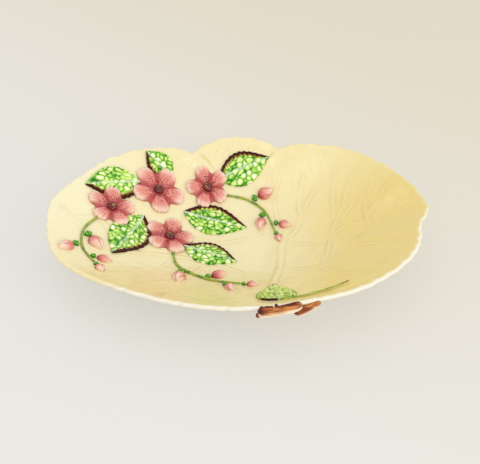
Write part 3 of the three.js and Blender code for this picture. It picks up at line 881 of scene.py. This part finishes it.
def stalk_surface(tree):
    dapple = mottle(tree, 260, 3.0)
    colour = paint(between(dapple, 0.4, 0.7), STALK_GREEN, STALK_DARK)
    colour = paint(between(mask_of(tree, "along") + 0.2 * (dapple - 0.5), 0.8, 1.0), colour, STALK_BROWN)
    bare = 1 - between(mask_of(tree, "upper") + 0.8 * (dapple - 0.5), -0.4, 0.1)
    colour = paint(bare, colour, CREAM_GOLDEN)
    return colour, 0.14 + 0.12 * dapple, dapple, 0.0003


def stem_surface(tree):
    dapple = mottle(tree, 300, 3.0)
    colour = paint(between(dapple, 0.4, 0.7), STALK_GREEN, STALK_DARK)
    return colour, 0.14 + 0.12 * dapple, dapple, 0.0003


stalk_glaze = new_glaze("stalk_glaze", CLEAR_GLAZE_IOR, stalk_surface)
stem_glaze = new_glaze("stem_glaze", CLEAR_GLAZE_IOR, stem_surface)
end_turns = np.radians(np.linspace(0, 90, 6))
roll_ends = [(math.sin(turn), 0.012 * (1 - math.cos(turn))) for turn in end_turns]
roll_body = [(1, along) for along in np.linspace(0.02, 0.98, STEM_RINGS)]
roll_profile = [*roll_ends, *roll_body, *[(across, 1 - along) for across, along in reversed(roll_ends)]]
stalk_points = [plan_inside(*point) for point in STALK_PATH]
roll = turned(roll_profile, STEM_SIDES)
stalk = make_piece("rolled_front_stalk", roll, stem_place(stalk_points, STALK_RADIUS))
finish_piece(stalk, stalk_glaze, "front_stalk")
stem_lines = [[in_spray(*point) for point in path] for path, _ in BUD_STEMS]
for count, path in enumerate(stem_lines):
    roll = turned(roll_profile, STEM_SIDES)
    stem = make_piece(f"rolled_bud_stem_{count + 1}", roll, stem_place(path, STEM_RADIUS))
    finish_piece(stem, stem_glaze, f"bud_stem_{count + 1}")


# The blossoms: rosettes of five ruffled petals pressed from one pad of clay, hollowed for the pellet that
# is the eye, luted over the leaves. The pink is brushed thin over white and gathers in the clefts, with
# crimson stipple by the eye.
PETAL_EDGE = 1.4
PETAL_RISE = 3.4
EYE_RADIUS = 3.8
EYE_SEAT = 1.5
EYE_RISE = 2.6
EYE_BACK = -0.6
EYE_GRAIN = 1.15
EYE_STEPS = 48
EYE_RINGS = 16
BLOSSOM_STEPS = 200
BLOSSOM_RINGS = 34


def blossom_place(middle_x, middle_y, radius, first):
    eye = (EYE_RADIUS + LUTING_GAP) / radius

    def place(u, v, level):
        turn, share = np.arctan2(v, u), np.hypot(u, v)
        petal = petal_share(turn, first)
        ruffle = np.sin(23 * turn + 2 * np.sin(3 * turn)) * smooth_step(0.6, 1, share)
        reach = petal_reach(turn, radius, first) * share - 0.3 * (1 + ruffle) * share**4
        x, y = middle_x + reach * np.cos(turn), middle_y + reach * np.sin(turn)
        across = np.clip((share - eye) / (1 - eye), 0, 1)
        puff = np.sin(np.pi * across**0.9) * (0.25 + 0.75 * petal**0.6)
        curl = 0.7 * smooth_step(0.62, 0.92, across) * petal
        groove = -0.9 * (1 - petal) ** 6 * smooth_step(0, 0.3, across)
        lines = 0.1 * np.sin(40 * turn + 3 * np.sin(5 * turn)) * smooth_step(0.1, 0.5, across) * petal
        crown = PETAL_EDGE + (PETAL_RISE - PETAL_EDGE) * puff
        crown = crown + curl + groove + lines + 0.2 * ruffle * petal
        hollow = smooth_step(0.0, 0.12, across)
        lift = LUTING_GAP + EYE_SEAT * (1 - hollow) + crown * hollow
        folds = smooth_step(0.0, 0.1, -lines) + (1 - petal) ** 3
        masks = {"petal": petal, "out": across, "groove": folds}
        return seat(x, y, np.where(level > 0.5, lift, SUNK_BACK)), masks

    return place


PETAL_PINK = srgb(226, 142, 128)
PETAL_PALE = srgb(244, 212, 190)
PETAL_DEEP = srgb(178, 62, 62)
STIPPLE_CRIMSON = srgb(120, 18, 30)


def petal_surface(tree):
    wash = mottle(tree, 130, 3.0)
    fine = mottle(tree, 800, 2.0)
    out = mask_of(tree, "out")
    petal = mask_of(tree, "petal")
    colour = paint(between(out + 0.5 * (wash - 0.5), 0.55, 1.0), PETAL_PINK, PETAL_PALE)
    colour = paint(between(1 - petal + 0.3 * (wash - 0.5), 0.45, 1.0) * 0.9, colour, PETAL_DEEP)
    colour = paint(mask_of(tree, "groove") * 0.3, colour, PETAL_DEEP)
    colour = paint(between(1 - out + 0.5 * (fine - 0.5), 0.62, 0.95) * 0.8, colour, PETAL_DEEP)
    place = add_node(tree, "TexCoord", out=3)
    dots = add_node(tree, "TexVoronoi", None, {"Vector": place, "Scale": 700.0})
    stipple = (1 - between(dots, 0.25, 0.42)) * between(1 - out, 0.4, 0.62)
    colour = paint(stipple, colour, STIPPLE_CRIMSON)
    return colour, 0.12 + 0.12 * wash, fine, 0.0003


def eye_place(middle_x, middle_y):
    def place(u, v, level):
        share = np.hypot(u, v)
        x, y = middle_x + u * EYE_RADIUS, middle_y + v * EYE_RADIUS
        grains = cells_at(u * EYE_RADIUS, v * EYE_RADIUS, EYE_GRAIN, middle_x)
        dome = EYE_RISE * np.sqrt(np.maximum(0, 1 - share**2))
        face = dome + 0.45 * (grains - 0.5) * (1 - share**4)
        lift = EYE_SEAT + 2 * LUTING_GAP + np.where(level > 0.5, face, EYE_BACK)
        return seat(x, y, lift), {"cell": grains, "out": share}

    return place


EYE_CRIMSON = srgb(150, 34, 42)
EYE_DARK = srgb(84, 12, 22)
EYE_GOLD = srgb(226, 190, 92)


def eye_surface(tree):
    dab = mottle(tree, 500, 3.0)
    grain = mask_of(tree, "cell")
    colour = paint(between(grain, 0.2, 0.7), EYE_DARK, EYE_CRIMSON)
    gilded = grain + 0.5 * (dab - 0.5) - 0.7 * mask_of(tree, "out")
    colour = paint(between(gilded, 0.35, 0.6), colour, EYE_GOLD)
    return colour, 0.14 + 0.1 * dab, dab, 0.0003


def disc_profile(rings):
    """Half section of a disc with a flat back at height 0 and a face at 1."""
    back = [(share, 0) for share in (0, 0.5, 0.94, 0.99)]
    face = [(share, 1) for share in np.linspace(1, 0, rings)]
    return [*back, (1, 0.5), *face]


petal_glaze = new_glaze("petal_pink_glaze", CLEAR_GLAZE_IOR, petal_surface)
eye_glaze = new_glaze("eye_crimson_glaze", CLEAR_GLAZE_IOR, eye_surface)
for count, blossom in enumerate(in_spray(*blossom) for blossom in BLOSSOMS):
    rosette = turned(disc_profile(BLOSSOM_RINGS), BLOSSOM_STEPS)
    petals = make_piece(f"pressed_blossom_{count + 1}", rosette, blossom_place(*blossom))
    finish_piece(petals, petal_glaze, f"blossom_{count + 1}")
    pellet = turned(disc_profile(EYE_RINGS), EYE_STEPS)
    eye = make_piece(f"pellet_{count + 1}", pellet, eye_place(*blossom[:2]))
    finish_piece(eye, eye_glaze, f"blossom_{count + 1}_centre")


# The buds, each on its calyx: small teardrops of clay set in slip beside the stems, smaller towards the
# tip. The pink is drawn in strokes from a crimson foot, and the calyx below it has three green sepals.
BUD_LENGTH = 14
BUD_WIDTH = 10
BUD_BROADEST = 0.4
BUD_RISE = 4.4
BUD_SPREAD = 50
BUD_SHRINK = 0.12
BUD_ROWS, BUD_COLUMNS = 34, 26
CALYX_LENGTH = 5
CALYX_WIDTH = 6
CALYX_BROADEST = 0.6
CALYX_RISE = 2.8
CALYX_ROWS, CALYX_COLUMNS = 18, 18
LEAST_RISE = 0.2
BUDS_ALONG_STEM = [0.36, 0.6, 0.82, 1]


def bud_place(bud, size, seed):
    def place(u, v, level):
        _, _, x, y = blade_plan(*bud, u, v)
        crown = BUD_RISE * size * np.sqrt(np.maximum(0, (1 - u**2) * (1 - v**2)))
        fold = np.sin(2.6 * v + 1.4 * u + seed)
        crease = np.exp(-((fold / 0.28) ** 2)) * smooth_step(-0.9, 0.2, u)
        face = np.maximum(LEAST_RISE, crown - 0.55 * size * crease * (1 - v**4))
        lift = np.where(level > 0.5, LUTING_GAP + face, SUNK_BACK)
        return seat(x, y, lift), {"along": (1 + u) / 2, "groove": crease}

    return place


def calyx_place(calyx, size):
    def place(u, v, level):
        _, _, x, y = blade_plan(*calyx, u, v)
        sepals = 0.5 + 0.5 * np.cos(3 * np.pi * v)
        crown = CALYX_RISE * size * np.sqrt(np.maximum(0, (1 - u**2) * (1 - v**2)))
        crown = crown * (0.75 + 0.25 * sepals)
        lift = np.where(level > 0.5, LUTING_GAP + np.maximum(LEAST_RISE, crown), SUNK_BACK)
        return seat(x, y, lift), {"cell": sepals}

    return place


def bud_surface(tree):
    wash = mottle(tree, 200, 3.0)
    stroke = mottle(tree, 900, 2.0)
    along = mask_of(tree, "along")
    colour = paint(between(along + 0.6 * (wash - 0.5), 0.35, 0.85), PETAL_PINK, PETAL_PALE)
    colour = paint(mask_of(tree, "groove") * 0.7, colour, PETAL_DEEP)
    colour = paint(between(1 - along + 0.6 * (stroke - 0.5), 0.55, 0.95) * 0.95, colour, PETAL_DEEP)
    colour = paint(between(1 - along + 0.5 * (stroke - 0.5), 0.8, 1.05), colour, STIPPLE_CRIMSON)
    return colour, 0.12 + 0.12 * wash, stroke, 0.0002


def calyx_surface(tree):
    dab = mottle(tree, 420, 3.0)
    colour = paint(between(mask_of(tree, "cell") + 0.6 * (dab - 0.5), 0.3, 1.1), LEAF_CREASE, LEAF_DEEP)
    return colour, 0.14 + 0.1 * dab, dab, 0.0003


def beside_stem(size):
    """Distance from the stem's middle to a calyx whose broadest place clears the stem."""
    clear = STEM_RADIUS + 2 * LUTING_GAP
    lean = math.sin(math.radians(BUD_SPREAD))
    shoulder = CALYX_WIDTH / 2 * size * math.cos(math.radians(BUD_SPREAD))
    return max((clear + shoulder) / lean - CALYX_BROADEST * CALYX_LENGTH * size, clear / lean)


bud_glaze = new_glaze("bud_pink_glaze", CLEAR_GLAZE_IOR, bud_surface)
calyx_glaze = new_glaze("calyx_green_glaze", CLEAR_GLAZE_IOR, calyx_surface)
for stem_count, (path, (_, first_side)) in enumerate(zip(stem_lines, BUD_STEMS)):
    line, shares = smooth_line(path, 0.1)
    run = np.gradient(line, axis=0)
    for count, along in enumerate(BUDS_ALONG_STEM):
        size = 1 - BUD_SHRINK * count
        side = first_side * (-1) ** count if along < 1 else 0
        index = round(along * (len(line) - 1))
        heading = math.degrees(math.atan2(run[index][1], run[index][0])) + side * BUD_SPREAD
        forward = np.array([math.cos(math.radians(heading)), math.sin(math.radians(heading))])
        calyx_foot = line[index] + forward * (beside_stem(size) if side else LUTING_GAP)
        bud_foot = calyx_foot + forward * (CALYX_LENGTH * size + LUTING_GAP)
        calyx = (*calyx_foot, heading, CALYX_LENGTH * size, CALYX_WIDTH * size, CALYX_BROADEST)
        bud = (*bud_foot, heading, BUD_LENGTH * size, BUD_WIDTH * size, BUD_BROADEST)
        name = f"{stem_count + 1}_{count + 1}"
        cup = pad(CALYX_ROWS, CALYX_COLUMNS)
        sepals = make_piece(f"pinched_calyx_{name}", cup, calyx_place(calyx, size))
        finish_piece(sepals, calyx_glaze, f"calyx_{name}")
        drop = pad(BUD_ROWS, BUD_COLUMNS)
        petals = make_piece(f"pinched_bud_{name}", drop, bud_place(bud, size, stem_count + 2 * count))
        finish_piece(petals, bud_glaze, f"bud_{name}")


# The studio: a pale matt table that glows a little as its own backdrop, a large soft key light from the
# front right, a low fill from the front, three small lamps whose reflections show in the glaze, and even
# light from all round.
TABLE_SIZE = 30.0
TABLE_COOL = srgb(226, 225, 221)
TABLE_WARM = srgb(221, 214, 197)
BACKDROP_COOL = srgb(234, 233, 228)
BACKDROP_WARM = srgb(227, 219, 200)
BACKDROP_SHARE = 0.55
BLACK = (0, 0, 0, 1)
SOFT_WHITE = (1.0, 0.99, 0.975, 1)
TABLE_IOR = 1.15
EVEN_LIGHT = 0.955


def table_warmth(tree):
    """Share of warm light on the table, from the cool front left to the warm back right."""
    place = add_node(tree, "TexCoord", out=3)
    across = add_node(tree, "SeparateXYZ", None, {0: place}, out=0)
    deep = add_node(tree, "SeparateXYZ", None, {0: place}, out=1)
    return between(across + deep, -0.3, 0.6)


def table_surface(tree):
    seen = add_node(tree, "LightPath") * BACKDROP_SHARE
    colour = paint(seen, paint(table_warmth(tree), TABLE_COOL, TABLE_WARM), BLACK)
    return colour, 0.85 + 0.1 * mottle(tree, 3), mottle(tree, 300), 0.0001


table_sheet = bmesh.new()
bmesh.ops.create_grid(table_sheet, x_segments=4, y_segments=4, size=TABLE_SIZE / 2)
table_mesh = bpy.data.meshes.new("table")
table_sheet.to_mesh(table_mesh)
table_sheet.free()
table_top = new_glaze("table_top", TABLE_IOR, table_surface)
table_shader = table_top.node_tree.nodes["Principled BSDF"]
backdrop = paint(table_warmth(table_top.node_tree), BACKDROP_COOL, BACKDROP_WARM)
glow = paint(add_node(table_top.node_tree, "LightPath") * BACKDROP_SHARE, BLACK, backdrop)
table_top.node_tree.links.new(glow.socket, table_shader.inputs["Emission Color"])
table_shader.inputs["Emission Strength"].default_value = 1.0
table_mesh.materials.append(table_top)
table = bpy.data.objects.new("table", table_mesh)
bpy.context.scene.collection.objects.link(table)


def soft_box(name, place, aim, width, height, power):
    lamp = bpy.data.lights.new(name, "AREA")
    lamp.shape = "RECTANGLE"
    lamp.size, lamp.size_y = width, height
    lamp.energy = power
    lamp.color = SOFT_WHITE[:3]
    box = bpy.data.objects.new(name, lamp)
    box.location = place
    box.rotation_euler = (Vector(aim) - Vector(place)).to_track_quat("-Z", "Y").to_euler()
    bpy.context.scene.collection.objects.link(box)


soft_box("key_light", (0.95, -0.75, 0.65), (0, 0, 0.02), 0.9, 0.7, 4.2)
soft_box("low_fill", (0.1, -1.6, 0.8), (0, 0, 0.02), 1.6, 0.6, 2.8)
soft_box("window_light", (-0.155, 0.07, 1.0), (0.05, 0.07, 0.03), 0.17, 0.12, 0.08)
soft_box("glint_light", (0.08, -0.13, 1.0), (-0.05, 0.05, 0.03), 0.08, 0.04, 0.1)
soft_box("side_window", (-0.32, 0.6, 0.72), (0.1, 0.02, 0.03), 0.05, 0.03, 0.025)

world = bpy.data.worlds.new("even_light")
world.use_nodes = True
background = world.node_tree.nodes["Background"]
background.inputs["Color"].default_value = SOFT_WHITE
background.inputs["Strength"].default_value = EVEN_LIGHT
bpy.context.scene.world = world
bpy.context.scene.view_settings.view_transform = "Standard"

# The camera looks down over the front rim, level with the long side
CAMERA_AIM = Vector((0.93, -16.1, 37.9)) * MM
CAMERA_DISTANCE = 530 * MM
CAMERA_RISE = math.radians(40)
CAMERA_LENS = 57
CAMERA_SENSOR = 36
camera = bpy.data.cameras.new("camera")
camera.lens = CAMERA_LENS
camera.sensor_width = CAMERA_SENSOR
camera.sensor_fit = "HORIZONTAL"
viewer = bpy.data.objects.new("camera", camera)
toward_viewer = Vector((0, -math.cos(CAMERA_RISE), math.sin(CAMERA_RISE)))
viewer.location = CAMERA_AIM + CAMERA_DISTANCE * toward_viewer
viewer.rotation_euler = (-toward_viewer).to_track_quat("-Z", "Y").to_euler()
bpy.context.scene.collection.objects.link(viewer)
bpy.context.scene.camera = viewer
